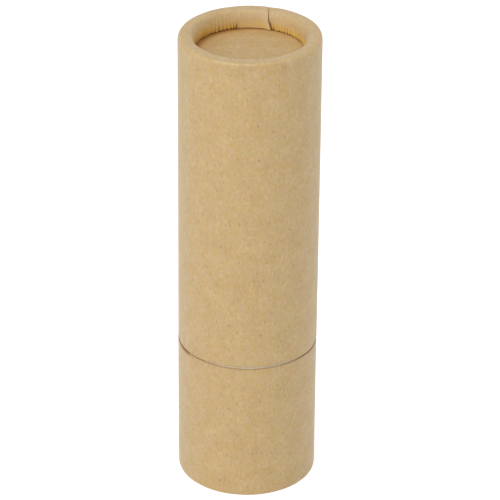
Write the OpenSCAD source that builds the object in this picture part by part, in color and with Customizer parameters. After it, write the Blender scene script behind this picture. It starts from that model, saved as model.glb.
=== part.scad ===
// Twist-up lip balm stick in a paper case.
// A long paper cap and a short paper base meet at one joint line. Turning the
// base against the inner barrel winds a carrier, and the balm cast into it, up
// a spindle. The stick stands on its base, with its axis on +Z.

/* [Paper case] */
// Outside diameter of the closed case
case_d = 20; // [18.5:0.25:24]
// Height of the closed case
case_h = 69; // [64:1:80]
// Height of the base, up to the joint line
base_h = 21.1; // [19:0.1:26]
// Gap between the base and the cap's board
joint_gap = 0.15; // [0.15:0.05:0.4]
// Strip of the cap's board that its wrap leaves bare at the joint line
bare_edge = 0.3; // [0.1:0.05:0.5]
// Thickness of the kraft wrap
paper_t = 0.2; // [0.15:0.05:0.3]
// Wall of the board tubes
board_t = 1.75; // [1.4:0.05:2]
// Outer rounding of the cap's rim, where the wrap turns in
rim_round = 0.7; // [0.5:0.05:0.8]
// Outer rounding of the base's foot, pressed flatter as the stick is stood up
foot_round = 0.4; // [0.3:0.05:0.8]
// Arc, in degrees, over which the wrap overlaps itself
overlap = 36; // [20:1:45]
// Place of the overlap's middle, in degrees from +X
overlap_at = 85.5; // [0:0.5:359]

/* [Recessed ends] */
// Depth from the cap's rim down to its end disc
cap_recess = 2.7; // [2:0.1:3.5]
// Depth from the base's rim up to its end disc
base_recess = 2.4; // [1.8:0.1:2.8]
// Thickness of the board discs
disc_t = 1.5; // [1:0.1:1.8]
// Pleats that the turned-in wrap gathers into, clear of the overlap
pleats = 56; // [24:2:64]
// Greatest height of a pleat
pleat_h = 0.18; // [0.08:0.02:0.2]

/* [Twist-up mechanism] */
// Advance of the carrier in one turn of the base
lead = 4; // [3:0.5:4]
// Turns from fully down to fully up
turns = 9; // [6:1:9]
// Height of the barrel's mouth above the joint line
neck_h = 33; // [32:1:36]
// Diameter of the spindle's post
post_d = 3.6; // [3:0.1:4]
// Diameter of the carrier's nut bore
nut_d = 5.1; // [5:0.1:5.6]
// Height of the carrier's hub
hub_h = 5; // [4:0.5:6]
// Guide ribs that keep the carrier from turning in the barrel
guides = 4; // [3:1:6]

/* [Hidden] */
$fn = 96;
eps = 0.01;

// Paper and board, as the kraft case shows them
kraft = "#c9ad7f";
board = "#d9d3c6";
white_pp = "#f1f0ea";
wax = "#f2e6c4";

case_r = case_d / 2;
wrap_in_r = case_r - paper_t;
bore_r = wrap_in_r - board_t;
turn_in_r = bore_r - paper_t;
rim_inner_round = 0.5;
cap_z = base_h + joint_gap;
cap_h = case_h - cap_z;
// The turned-in edge stops just short of the disc
flap_gap = 0.08;

// Drive plug, glued into the base on top of its disc
plug_z = base_recess + disc_t;
plug_floor = 1;
plug_h = 9.6;
plug_skirt = 0.65;
plug_key = 0.15;
plug_keys = 24;
boss_r = 3.7;
boss_h = 4.1;
web_t = 0.8;
webs = 6;

// Spindle: hexagonal foot, journal, flange and post
foot_corner_r = 2.5;
foot_clear = 1.2;
journal_r = 2.9;
flange_r = 4.6;
flange_h = 0.8;

// Barrel: a foot that turns in the plug's skirt, and a neck that the cap covers
run = 0.1;
neck_clear = 0.2;
barrel_t = 1.1;
barrel_floor = 1.2;
barrel_r = bore_r - neck_clear;
barrel_in_r = barrel_r - barrel_t;
skirt_in_r = bore_r - plug_skirt;
foot_r = skirt_in_r - run;
barrel_z = plug_z + boss_h + neck_clear;
shoulder_z = plug_z + plug_h + neck_clear;
mouth_z = base_h + neck_h;
lip_round = 0.35;
bead_r = 0.35;
bead_z = plug_z + plug_h - 2.2;
bead_proud = 0.2;
guide_w = 0.8;
guide_proud = 0.45;
grips = 6;
grip_len = 7;
grip_proud = 0.14;

// Carrier: a cup with a hub, fins and a notch for each guide rib
carrier_z = barrel_z + barrel_floor + run + flange_h + neck_clear;
balm_r = barrel_in_r - 0.15;
cup_floor = 1;
cup_h = 4.5;
cup_t = 0.9;
hub_r = nut_d / 2 + 1.1;
fin_t = 0.7;
fin_h = 3.4;
notch_clear = 0.15;

// Spindle and balm reach as far as the carrier's travel needs
travel = lead * turns;
post_top = carrier_z + travel + hub_h + 0.5;
tip_h = 0.8;
bore_clear = 0.15;
dome_h = 1.4;
dome_r = (balm_r * balm_r + dome_h * dome_h) / (2 * dome_h);

// A ring's cross-section from radius r0 to r1 and height z0 to z1, with its
// lower corners rounded by q0 (inside) and q1 (outside)
module rounded_band(r0, r1, z0, z1, q0, q1) {
    difference() {
        translate([r0, z0]) square([r1 - r0, z1 - z0]);
        translate([r0 - eps, z0 - eps]) square(q0 + eps);
        translate([r1 - q1, z0 - eps]) square(q1 + eps);
    }
    intersection() {
        translate([r0, z0]) square(q0);
        translate([r0 + q0, z0 + q0]) circle(q0);
    }
    intersection() {
        translate([r1 - q1, z0]) square(q1);
        translate([r1 - q1, z0 + q1]) circle(q1);
    }
}

module tube(r_in, r_out, h) {
    difference() {
        cylinder(r = r_out, h = h);
        translate([0, 0, -eps]) cylinder(r = r_in, h = h + 2 * eps);
    }
}

// Kraft wrap of a tube with its closed end at z = 0: the sheet runs down the
// outside, turns over the board's edge and is tucked in as far as the flap
module wrap(h, flap, end_round) {
    rotate_extrude() {
        difference() {
            rounded_band(turn_in_r, case_r, 0, h, rim_inner_round, end_round);
            rounded_band(bore_r, wrap_in_r, paper_t, h + 1,
                         rim_inner_round - paper_t, end_round - paper_t);
            translate([turn_in_r - 1, flap]) square([1 + paper_t, h]);
        }
    }
    pleat_fan(flap);
    second_layer(flap);
}

// The tucked sheet is longer than the circle it lies on, so it gathers into
// pleats. Each rises out of the rim and is proudest at the sheet's edge. Where
// the wrap lies double it is too stiff to pleat.
module pleat_fan(flap) {
    start = rim_inner_round + 0.1;
    pitch = (360 - overlap) / pleats;
    intersection() {
        for (i = [0 : pleats - 1])
            rotate(overlap_at + overlap / 2 + (i + 0.5) * pitch + 1.6 * sin(i * 137))
                pleat(start, flap, pleat_h * (0.75 + 0.25 * sin(i * 71)));
        translate([0, 0, start]) tube(turn_in_r - 2 * pleat_h, bore_r - 0.05, flap - start);
    }
}

module pleat(z0, z1, proud) {
    half_w = 0.24;
    translate([turn_in_r + 0.03, 0, z0])
        rotate([0, -atan(proud / (z1 - z0)), 0])
            linear_extrude(height = z1 - z0 + 0.2)
                polygon([[0, 0], [0.4, -half_w], [0.4, half_w]]);
}

// Second layer of the sheet over the overlap, which parts from the first
// towards the tucked edge
module second_layer(flap) {
    start = rim_inner_round + 0.2;
    rotate(overlap_at - overlap / 2)
        rotate_extrude(angle = overlap)
            polygon([[turn_in_r + 0.1, start], [turn_in_r, start],
                     [turn_in_r - paper_t, flap], [turn_in_r + 0.1, flap]]);
}

// Wound board tube inside a wrap, with its folded end at z = paper_t
module board_tube(h, end_round) {
    rotate_extrude()
        rounded_band(bore_r, wrap_in_r, paper_t, h,
                     rim_inner_round - paper_t, end_round - paper_t);
}

// End disc with its kraft face at z = 0, looking down, and the punched edge's
// soft corner on that face
module end_disc() {
    edge_round = 0.15;
    rotate_extrude() {
        translate([0, edge_round]) square([bore_r, disc_t - edge_round]);
        square([bore_r - edge_round, disc_t]);
        translate([bore_r - edge_round, edge_round]) circle(edge_round, $fn = 24);
    }
}

// Stands a cap part, drawn with its closed end down, on its mouth
module as_cap() {
    translate([0, 0, case_h]) mirror([0, 0, 1]) children();
}

module cap_wrap() {
    color(kraft) as_cap() wrap(cap_h - bare_edge, cap_recess - flap_gap, rim_round);
}

module cap_tube() {
    color(board) as_cap() board_tube(cap_h, rim_round);
}

module cap_disc() {
    color(kraft) as_cap() translate([0, 0, cap_recess]) end_disc();
}

module base_wrap() {
    color(kraft) wrap(base_h, base_recess - flap_gap, foot_round);
}

module base_tube() {
    color(board) board_tube(base_h, foot_round);
}

module base_disc() {
    color(kraft) translate([0, 0, base_recess]) end_disc();
}

// Moulded cup that carries the spindle's foot. Keys on its skirt bite into the
// board, and a groove near its mouth holds the barrel's bead.
module drive_plug() {
    color(white_pp) translate([0, 0, plug_z]) {
        difference() {
            union() {
                cylinder(r = bore_r - plug_key, h = plug_h);
                plug_key_ring();
            }
            translate([0, 0, plug_floor]) cylinder(r = skirt_in_r, h = plug_h);
            translate([0, 0, bead_z - plug_z])
                rotate_extrude()
                    translate([foot_r - bead_r + bead_proud, 0]) circle(bead_r + run, $fn = 32);
            translate([0, 0, plug_h - 0.3])
                cylinder(r1 = skirt_in_r, r2 = skirt_in_r + 0.3, h = 0.3 + eps);
        }
        difference() {
            union() {
                translate([0, 0, plug_floor - eps]) cylinder(r = boss_r, h = boss_h - plug_floor + eps);
                for (i = [0 : webs - 1]) rotate(i * 360 / webs) plug_web();
            }
            translate([0, 0, foot_clear]) cylinder(r = foot_corner_r, h = boss_h, $fn = 6);
        }
    }
}

module plug_key_ring() {
    key_w = 0.6;
    intersection() {
        cylinder(r = bore_r, h = plug_h - 1);
        for (i = [0 : plug_keys - 1])
            rotate(i * 360 / plug_keys)
                translate([bore_r - 0.4, -key_w / 2, 0]) cube([1, key_w, plug_h]);
    }
}

module plug_web() {
    translate([foot_corner_r + 0.3, -web_t / 2, plug_floor - eps])
        cube([skirt_in_r - foot_corner_r, web_t, boss_h - plug_floor - 0.8]);
}

// Screw post that the carrier climbs. Its thread is a fine detail; this is the
// core that the thread stands on.
module spindle() {
    journal_top = barrel_z + barrel_floor + run;
    color(white_pp) {
        translate([0, 0, plug_z + foot_clear])
            cylinder(r = foot_corner_r, h = boss_h - foot_clear, $fn = 6);
        translate([0, 0, plug_z + boss_h - eps])
            cylinder(r = journal_r, h = journal_top - plug_z - boss_h + 2 * eps);
        translate([0, 0, journal_top]) spindle_flange();
        translate([0, 0, journal_top]) cylinder(d = post_d, h = post_top - tip_h - journal_top);
        translate([0, 0, post_top - tip_h]) cylinder(d1 = post_d, d2 = post_d / 2, h = tip_h);
    }
}

module spindle_flange() {
    cylinder(r = flange_r - 0.2, h = flange_h);
    cylinder(r = flange_r, h = flange_h - 0.2);
}

// Straight moulded barrel. Its foot turns inside the plug; its neck stands out
// of the base, and grip ribs on it hold the cap.
module barrel() {
    color(white_pp) {
        difference() {
            barrel_outside();
            translate([0, 0, barrel_z + barrel_floor]) cylinder(r = barrel_in_r, h = mouth_z);
            translate([0, 0, barrel_z - eps]) cylinder(r = journal_r + run, h = barrel_floor + 1);
            translate([0, 0, mouth_z - lip_round])
                cylinder(r1 = barrel_in_r, r2 = barrel_in_r + lip_round, h = lip_round + eps);
            translate([0, 0, barrel_z - eps])
                cylinder(r1 = journal_r + run + 0.4, r2 = journal_r + run, h = 0.4);
        }
        for (i = [0 : guides - 1]) rotate(45 + i * 360 / guides) guide_rib();
        for (i = [0 : grips - 1]) rotate(15 + i * 360 / grips) grip_rib();
    }
}

module barrel_outside() {
    foot_in_r = foot_r - 0.35;
    translate([0, 0, shoulder_z]) cylinder(r = barrel_r, h = mouth_z - lip_round - shoulder_z);
    translate([0, 0, mouth_z - lip_round]) cylinder(r = barrel_r - lip_round, h = lip_round);
    translate([0, 0, mouth_z - lip_round])
        rotate_extrude() translate([barrel_r - lip_round, 0]) circle(lip_round, $fn = 32);
    translate([0, 0, barrel_z + 0.35]) cylinder(r = foot_r, h = shoulder_z - barrel_z);
    translate([0, 0, barrel_z]) cylinder(r1 = foot_in_r, r2 = foot_r, h = 0.35 + eps);
    translate([0, 0, bead_z])
        rotate_extrude() translate([foot_r - bead_r + bead_proud, 0]) circle(bead_r, $fn = 32);
}

module guide_rib() {
    rib_z = barrel_z + barrel_floor - eps;
    translate([barrel_in_r - guide_proud, -guide_w / 2, rib_z])
        cube([guide_proud + 0.3, guide_w, mouth_z - 1.2 - rib_z]);
}

// Low crush rib on the neck, rounded like a pin laid along the barrel
module grip_rib() {
    rib_r = 0.45;
    rib_z = cap_z + 1.2;
    translate([barrel_r + grip_proud - rib_r, 0, rib_z]) {
        cylinder(r = rib_r, h = grip_len, $fn = 32);
        translate([0, 0, grip_len]) cylinder(r1 = rib_r, r2 = rib_r / 2, h = 0.8, $fn = 32);
    }
}

// Cup that lifts the balm: hub with the nut bore, fins that key the balm, and a
// notch in the rim for each guide rib
module carrier() {
    color(white_pp) translate([0, 0, carrier_z])
        difference() {
            union() {
                difference() {
                    carrier_cup();
                    guide_notches(-1, cup_h + 2);
                }
                cylinder(r = hub_r, h = hub_h);
                for (i = [0 : guides - 1]) rotate(i * 360 / guides) carrier_fin();
            }
            nut_bore();
        }
}

module carrier_cup() {
    edge = 0.3;
    difference() {
        union() {
            translate([0, 0, edge]) cylinder(r = balm_r, h = cup_h - edge);
            cylinder(r1 = balm_r - edge, r2 = balm_r, h = edge + eps);
        }
        translate([0, 0, cup_floor]) cylinder(r = balm_r - cup_t, h = cup_h);
    }
}

module guide_notches(z, h) {
    notch_w = guide_w + 2 * notch_clear;
    notch_r = barrel_in_r - guide_proud - notch_clear;
    for (i = [0 : guides - 1])
        rotate(45 + i * 360 / guides)
            translate([notch_r, -notch_w / 2, z]) cube([2, notch_w, h]);
}

module carrier_fin() {
    translate([hub_r - 0.3, -fin_t / 2, cup_floor - eps])
        cube([balm_r - cup_t - hub_r + 0.6, fin_t, fin_h]);
}

module nut_bore() {
    chamfer = 0.4;
    translate([0, 0, -1]) cylinder(d = nut_d, h = hub_h + 2);
    translate([0, 0, -eps]) cylinder(d1 = nut_d + 2 * chamfer, d2 = nut_d, h = chamfer);
}

// Balm poured into the barrel on top of the carrier: it fills the cup round the
// fins, is cored by the spindle, and bears a groove from each guide rib
module balm() {
    color(wax) difference() {
        rotate_extrude() balm_section();
        translate([0, 0, carrier_z]) {
            cylinder(r = hub_r, h = hub_h);
            for (i = [0 : guides - 1]) rotate(i * 360 / guides) carrier_fin();
            guide_notches(0, mouth_z);
        }
        cylinder(r = nut_d / 2 + bore_clear, h = post_top + bore_clear);
    }
}

// Half section of the balm: the part inside the cup, and the stick above it
// with its poured, slightly domed top
module balm_section() {
    rim_z = carrier_z + cup_h;
    translate([0, carrier_z + cup_floor]) square([balm_r - cup_t, cup_h]);
    intersection() {
        translate([0, rim_z]) square([balm_r, mouth_z]);
        union() {
            translate([0, rim_z]) square([balm_r + 1, dome_r]);
            translate([0, mouth_z + dome_h - dome_r]) circle(dome_r, $fn = 360);
        }
    }
}

cap_wrap();
cap_tube();
cap_disc();
base_wrap();
base_tube();
base_disc();
drive_plug();
spindle();
barrel();
carrier();
balm();
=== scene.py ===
# %% [markdown]
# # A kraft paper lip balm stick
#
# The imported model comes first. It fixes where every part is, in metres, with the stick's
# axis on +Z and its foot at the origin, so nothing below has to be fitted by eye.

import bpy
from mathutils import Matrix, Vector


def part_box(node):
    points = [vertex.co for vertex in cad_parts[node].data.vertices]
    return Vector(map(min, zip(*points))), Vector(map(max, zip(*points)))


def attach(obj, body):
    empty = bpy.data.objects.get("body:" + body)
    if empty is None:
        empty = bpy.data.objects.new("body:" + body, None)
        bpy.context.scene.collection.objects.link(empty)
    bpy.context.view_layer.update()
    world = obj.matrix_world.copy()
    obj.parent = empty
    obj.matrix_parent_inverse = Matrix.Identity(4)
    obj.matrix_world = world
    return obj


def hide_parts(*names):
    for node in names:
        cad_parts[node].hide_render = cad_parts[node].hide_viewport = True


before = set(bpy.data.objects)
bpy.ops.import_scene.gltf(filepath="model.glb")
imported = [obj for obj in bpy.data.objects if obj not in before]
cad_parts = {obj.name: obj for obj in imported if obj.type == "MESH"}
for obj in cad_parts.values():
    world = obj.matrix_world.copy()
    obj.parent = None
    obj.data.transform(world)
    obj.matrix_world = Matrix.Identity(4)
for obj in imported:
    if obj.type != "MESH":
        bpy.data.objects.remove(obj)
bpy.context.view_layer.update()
print("nodes:", ", ".join(sorted(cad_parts)))

# %% Tools used below
import math

import bpy
import numpy as np
from mathutils import Quaternion, Vector

MM = 0.001

# %% [markdown]
# ## The camera
#
# A long lens well back keeps the sides of the tube almost parallel, as in a product
# photograph. The camera stands straight in front, looks down on the rim, and leans by half a
# degree. It aims a little to the right of the axis, halfway up.

# %% Camera
LENS = 222.1
CAMERA_BACK = 440.2 * MM
LOOK_DOWN = math.radians(28.5)
LEAN = math.radians(0.52)
AIM = Vector((0.25, 0, 35.17)) * MM
NEAREST_SEEN = 10 * MM

towards = Vector((0, math.cos(LOOK_DOWN), -math.sin(LOOK_DOWN)))
bpy.ops.object.camera_add(location=AIM - towards * CAMERA_BACK)
camera = bpy.context.object
camera.name = "camera"
camera.location.x = 0
aim_line = AIM - camera.location
camera.rotation_mode = "QUATERNION"
camera.rotation_quaternion = aim_line.to_track_quat("-Z", "Y") @ Quaternion((0, 0, 1), LEAN)
camera.data.lens = LENS
camera.data.clip_start = NEAREST_SEEN
bpy.context.scene.camera = camera
print("camera at", [round(v, 4) for v in camera.location])

# %% [markdown]
# ## Light and floor
#
# The stick stands in plain soft light: a pale world from all round, a large soft lamp at the
# front left, weaker ones at the right and behind, and two above that light the recess. They
# are level with plain daylight, so a colour renders about as it is written. The white ground
# comes from the floor's and the world's own colour as the camera sees them, never from more
# light on the object.
#
# One small function adds any node, with its settings and links, here and in every material.

# %% World
WORLD_LIGHT = 0.30
WHITE = (1, 1, 1, 1)

scene = bpy.context.scene
scene.view_settings.view_transform = "Standard"
world = bpy.data.worlds.new("studio")
scene.world = world
world.use_nodes = True


def add_node(tree, kind, inputs=None, **settings):
    """Adds a node to a tree. settings are its own properties, and inputs its sockets by name
    or number: a value sets a socket, and another node's output is linked to it."""
    made = tree.nodes.new(kind)
    for name, value in settings.items():
        setattr(made, name, value)
    for name, value in (inputs or {}).items():
        if isinstance(value, bpy.types.NodeSocket):
            tree.links.new(value, made.inputs[name])
        else:
            made.inputs[name].default_value = value
    return made


def seen_directly(tree):
    """1 where the camera, gloss or glass looks, and 0 for the light that falls on things."""
    rays = add_node(tree, "ShaderNodeLightPath").outputs
    seen = rays["Is Camera Ray"]
    for kind in ("Is Glossy Ray", "Is Transmission Ray"):
        seen = add_node(tree, "ShaderNodeMath", {0: seen, 1: rays[kind]}, operation="MAXIMUM").outputs[0]
    return seen


world_tree = world.node_tree
world_tree.nodes.clear()
ambient = add_node(world_tree, "ShaderNodeBackground", {"Color": WHITE, "Strength": WORLD_LIGHT})
backdrop = add_node(world_tree, "ShaderNodeBackground", {"Color": WHITE, "Strength": 1.0})
world_mix = add_node(world_tree, "ShaderNodeMixShader",
                     {0: seen_directly(world_tree), 1: ambient.outputs[0], 2: backdrop.outputs[0]})
add_node(world_tree, "ShaderNodeOutputWorld", {"Surface": world_mix.outputs[0]})
print("world light:", WORLD_LIGHT)

# %% Lamps
LAMPS = [
    # name, place in metres, side of the square in metres, power in watts
    ("front_left_softbox", (-0.75, -0.68, 0.38), 0.68, 4.55),
    ("right_softbox", (0.80, -0.10, 0.20), 0.50, 1.22),
    ("high_front_softbox", (0.0, -0.60, 0.65), 0.50, 2.05),
    ("overhead_softbox", (-0.05, 0.05, 0.75), 0.50, 1.55),
    ("back_right_softbox", (0.60, 0.50, 0.35), 0.50, 0.42),
]


def deselect():
    """Operators act on all that is selected, so each piece starts with nothing selected."""
    bpy.ops.object.select_all(action="DESELECT")


def soft_lamp(name, place, side, power):
    """A square lamp that faces the middle of the stick."""
    deselect()
    bpy.ops.object.light_add(type="AREA", location=place)
    lamp = bpy.context.object
    lamp.name = name
    lamp.data.size = side
    lamp.data.energy = power
    lamp.rotation_mode = "QUATERNION"
    lamp.rotation_quaternion = (AIM - lamp.location).to_track_quat("-Z", "Y")


for lamp_row in LAMPS:
    soft_lamp(*lamp_row)
print("lamps:", len(LAMPS))

# %% Floor
FLOOR_SIZE = 3.0
FLOOR_WHITE = (0.9, 0.9, 0.9, 1)
FLOOR_GLOW = 0.50


def new_material(name):
    """A material with an empty node tree. Returns both."""
    made = bpy.data.materials.new(name)
    made.use_nodes = True
    made.node_tree.nodes.clear()
    return made, made.node_tree


def coat(obj, made):
    """Gives a whole piece one material."""
    obj.data.materials.clear()
    obj.data.materials.append(made)


deselect()
bpy.ops.mesh.primitive_plane_add(size=FLOOR_SIZE, location=(0, 0, 0))
floor = bpy.context.object
floor.name = "floor"
# a sheet of matt white paper
floor_paint, floor_tree = new_material("White sweep paper")
matt = add_node(floor_tree, "ShaderNodeBsdfDiffuse", {"Color": FLOOR_WHITE})
glow = add_node(floor_tree, "ShaderNodeEmission", {"Color": WHITE, "Strength": FLOOR_GLOW})
both = add_node(floor_tree, "ShaderNodeAddShader", {0: matt.outputs[0], 1: glow.outputs[0]})
floor_mix = add_node(floor_tree, "ShaderNodeMixShader",
                     {0: seen_directly(floor_tree), 1: matt.outputs[0], 2: both.outputs[0]})
add_node(floor_tree, "ShaderNodeOutputMaterial", {"Surface": floor_mix.outputs[0]})
coat(floor, floor_paint)
print("floor:", FLOOR_SIZE, "m square")

# %% [markdown]
# ## Colours
#
# Colours are written as they look on a screen. The renderer works in linear light, so one
# function turns a hex value into the numbers that a shader socket wants. Most materials here
# are one base colour with a few tints over it, each let through by a pattern of its own. So a
# second function lays any list of tints over a base.

# %% Colour
def colour(hex_value):
    """sRGB hex to linear RGBA."""
    steps = [int(hex_value[i:i + 2], 16) / 255 for i in (1, 3, 5)]
    linear = [s / 12.92 if s <= 0.04045 else ((s + 0.055) / 1.055) ** 2.4 for s in steps]
    return (*linear, 1.0)


def tinted(tree, base, tints):
    """Lays tints over a base colour in turn. Each is (value, start, end, share, colour): it
    comes in as value goes from start to end, and grows to that share of the whole."""
    tone = base
    for value, start, end, share, tint in tints:
        amount = add_node(tree, "ShaderNodeMapRange",
                          {"Value": value, "From Min": start, "From Max": end,
                           "To Min": 0.0, "To Max": share})
        tone = add_node(tree, "ShaderNodeMix", {0: amount.outputs[0], 6: tone, 7: tint},
                        data_type="RGBA").outputs[2]
    return tone


print("mid grey, linear:", round(colour("#808080")[0], 3))

# %% [markdown]
# ## Kraft paper
#
# The wrap is unbleached kraft: long softwood fibres, cooked but not whitened, laid down wet
# on a moving wire. Three things give it its look. The fibres clump, so the sheet is cloudy at
# a scale of one or two millimetres. They lie mostly along the web, so fine streaks follow it.
# And a few coarse or barky ones stay dark or golden. The surface is matt, with a faint shine
# at a glancing angle, because the wire side is pressed smooth.
#
# The pattern is drawn in sheet millimetres. A wrap carries them in its UV map, so that the
# streaks turn with the sheet over the rim. A flat disc reads them from its own coordinates.
# Real fibres are a tenth as wide as the finest streaks here, which are drawn as coarse as they
# need to be to show.
#
# Folding marks the sheet as well, and the same marks carry painted light and shade. A tight
# fold breaks it open and shows brown, and that brown is also painted as shade in the pleats'
# valleys, wrinkles and a nick, under the free corner, beside the seam, at the tuck's left and
# bottom, and at one spot of the joint. Glue soaks into the tuck and deepens its colour, and its
# tint is brighter and yellower than the sheet, as painted bounce light in the recess. A proud
# fold or a cut corner is rubbed pale, and the same pale is painted as light on the front fold
# and at the back of the tuck. Each wrap carries these three marks as attributes of its points.
# A disc is stained by the glue round its edge, and darkened there, most at the left, as painted
# shade under the rim.

# %% Kraft colours
KRAFT = colour("#cfb485")
KRAFT_SHADE = colour("#b79a64")
KRAFT_PINK = colour("#c9a786")
KRAFT_GOLD = colour("#c8a65a")
KRAFT_OCHRE = colour("#c29446")
KRAFT_PALE = colour("#dcc398")
BARK = colour("#946c38")
# glue in the tuck, made brighter and yellower as painted bounce light in the recess
KRAFT_GLUE_AND_BOUNCE = colour("#ebbe40")
# brown of broken folds and cut edges, also painted shade in valleys, gaps and beside the seam
KRAFT_CREASE_AND_SHADE = colour("#935f1a")
# rubbed pale, also a painted highlight on the front fold and painted light at the back of the tuck
KRAFT_RUBBED_AND_LIGHT = colour("#e6d3ae")
# glue on a disc's edge, darker as painted shade under the rim
KRAFT_SOAKED_AND_SHADE = colour("#b58842")
print("kraft, linear:", [round(v, 3) for v in KRAFT[:3]])

# %% Fibres
FIBRES = [
    # name, width and length in mm, detail, roughness, lean in degrees, shift, start, end, share, colour
    ("clumps", (2.20, 3.00), 3.0, 0.65, 0, 0, 0.32, 0.68, 0.85, KRAFT_SHADE),
    ("pink patches", (1.00, 1.70), 2.0, 0.50, 0, 33, 0.45, 0.68, 0.75, KRAFT_PINK),
    ("gold patches", (0.85, 1.20), 2.0, 0.50, 0, 21, 0.47, 0.70, 0.56, KRAFT_GOLD),
    ("left streaks", (0.36, 0.60), 1.0, 0.50, 12, 7, 0.30, 0.75, 0.47, KRAFT_SHADE),
    ("right streaks", (0.35, 0.56), 1.0, 0.50, -10, 57, 0.30, 0.75, 0.47, KRAFT_SHADE),
    ("pale fibres", (0.40, 0.66), 0.0, 0.50, 5, 83, 0.58, 0.78, 0.20, KRAFT_PALE),
    ("ochre fibres", (0.50, 0.80), 0.0, 0.50, -6, 71, 0.65, 0.80, 0.50, KRAFT_OCHRE),
    ("bark", (0.32, 0.66), 0.0, 0.50, 9, 51, 0.68, 0.84, 0.45, BARK),
]


def fibres(tree, in_mm):
    """The noise of each kind of fibre, by its name, and the tints that they give."""
    noise, tints = {}, []
    for kind, (width, length), detail, rough, lean, shift, start, end, share, tint in FIBRES:
        leant = add_node(tree, "ShaderNodeMapping",
                         {"Vector": in_mm, "Rotation": (0, 0, math.radians(lean)),
                          "Location": (shift, shift, 0)})
        stretched = add_node(tree, "ShaderNodeMapping",
                             {"Vector": leant.outputs[0], "Scale": (1 / width, 1 / length, 1 / width)})
        noise[kind] = add_node(tree, "ShaderNodeTexNoise",
                               {"Vector": stretched.outputs[0], "Scale": 1.0, "Detail": detail,
                                "Roughness": rough}, noise_dimensions="3D").outputs["Fac"]
        tints.append((noise[kind], start, end, share, tint))
    return noise, tints


print("kinds of fibre:", ", ".join(row[0] for row in FIBRES))

# %% Marks of folds and glue, with painted light and shade
# each mark is a fold or glue, and is also painted shade or light
FOLD_MARKS_AND_PAINTED_LIGHT = [("glued", 0.96, KRAFT_GLUE_AND_BOUNCE), ("creased", 0.92, KRAFT_CREASE_AND_SHADE), ("rubbed", 0.80, KRAFT_RUBBED_AND_LIGHT)]
# glue round a disc's edge, darkened as painted shade under the rim
GLUE_AND_SHADE_RINGS = [
    # from and to in mm from the middle, share, colour
    (5.4, 8.4, 0.70, KRAFT_SOAKED_AND_SHADE),
    (7.3, 8.0, 0.85, KRAFT_CREASE_AND_SHADE),
]
# off the axis, so that the painted shade reaches further in at the left
STAIN_AND_SHADE_OFF = (-0.6 * MM, 0.2 * MM, 0.0)


def fold_marks_and_painted_light(tree):
    """Tints of a wrap's folds and glue, and of the light and shade painted with them, from the
    marks that its points carry.
    """
    tints = []
    for mark, share, tint in FOLD_MARKS_AND_PAINTED_LIGHT:
        stored = add_node(tree, "ShaderNodeAttribute", attribute_name=mark)
        tints.append((stored.outputs["Fac"], 0.0, 1.0, share, tint))
    return tints


def glue_and_shade_rings(tree, where):
    """Tints of a disc's edge: glue stain, darkened as painted shade under the rim. The rings'
    middle is a little off the axis, so the painted shade reaches further in at the left.
    """
    flat = add_node(tree, "ShaderNodeMapping",
                    {"Vector": where, "Location": STAIN_AND_SHADE_OFF, "Scale": (1, 1, 0)})
    outwards = add_node(tree, "ShaderNodeVectorMath", {0: flat.outputs[0]}, operation="LENGTH")
    return [(outwards.outputs["Value"], start * MM, end * MM, share, tint)
            for start, end, share, tint in GLUE_AND_SHADE_RINGS]


print("marks on a wrap:", ", ".join(row[0] for row in FOLD_MARKS_AND_PAINTED_LIGHT))

# %% Kraft paper
UV_PER_MM = 0.01
FIBRE_RELIEF = 0.02


def kraft_paper(name, follows_sheet, sheen, turn=0.0):
    """Kraft paper. Its fibres run along a wrap's V, or along a flat disc's Y turned by turn
    degrees. follows_sheet is true for a wrap."""
    made, tree = new_material(name)
    where = add_node(tree, "ShaderNodeTexCoord").outputs["UV" if follows_sheet else "Object"]
    per_mm = 1 / UV_PER_MM if follows_sheet else 1 / MM
    in_mm = add_node(tree, "ShaderNodeMapping",
                     {"Vector": where, "Scale": (per_mm,) * 3, "Rotation": (0, 0, math.radians(turn))})
    noise, tints = fibres(tree, in_mm.outputs[0])
    tints += fold_marks_and_painted_light(tree) if follows_sheet else glue_and_shade_rings(tree, where)
    streaks = add_node(tree, "ShaderNodeMath", {0: noise["left streaks"], 1: noise["right streaks"]},
                       operation="ADD")
    relief = add_node(tree, "ShaderNodeBump",
                      {"Strength": 0.4, "Distance": FIBRE_RELIEF * MM, "Height": streaks.outputs[0]})
    shader = add_node(tree, "ShaderNodeBsdfPrincipled",
                      {"Base Color": tinted(tree, KRAFT, tints), "Normal": relief.outputs[0],
                       "Roughness": 0.62, "IOR": 1.5, "Sheen Weight": sheen, "Sheen Roughness": 0.5})
    add_node(tree, "ShaderNodeOutputMaterial", {"Surface": shader.outputs[0]})
    return made


kraft_wrap = kraft_paper("Kraft paper, machine finished", follows_sheet=True, sheen=0.3)
kraft_disc = kraft_paper("Kraft paper, laminated to board", follows_sheet=False, sheen=0.05, turn=90)
print("kraft:", kraft_wrap.name, "|", kraft_disc.name)

# %% [markdown]
# ## The wraps
#
# Each wrap is one flat sheet, rolled round its board tube a little more than once, glued
# where it overlaps, folded over the rim and tucked down inside. A tube primitive would have
# no overlap and no pleats, so the wrap starts as what it is: a flat grid, cut to size. Its
# columns go round the tube and its rows go along the fold line, from the cut edge at the joint,
# over the rim, to the edge of the tuck. Each point of the grid is then carried to its place
# on the roll, with the second layer lying on the first, and the tuck gathered into pleats.
# Last, a Solidify modifier gives the sheet its real thickness.
#
# First comes the line that the rows follow. The outer roll is soft at most of the cap's rim,
# crisp where the sheet was pulled tight, and flatter at the foot. All lengths are in mm.

# %% Sheet section
def low(node_name):
    """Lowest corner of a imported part, in millimetres."""
    return np.array(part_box(node_name)[0]) / MM


def high(node_name):
    """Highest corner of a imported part, in millimetres."""
    return np.array(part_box(node_name)[1]) / MM


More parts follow.
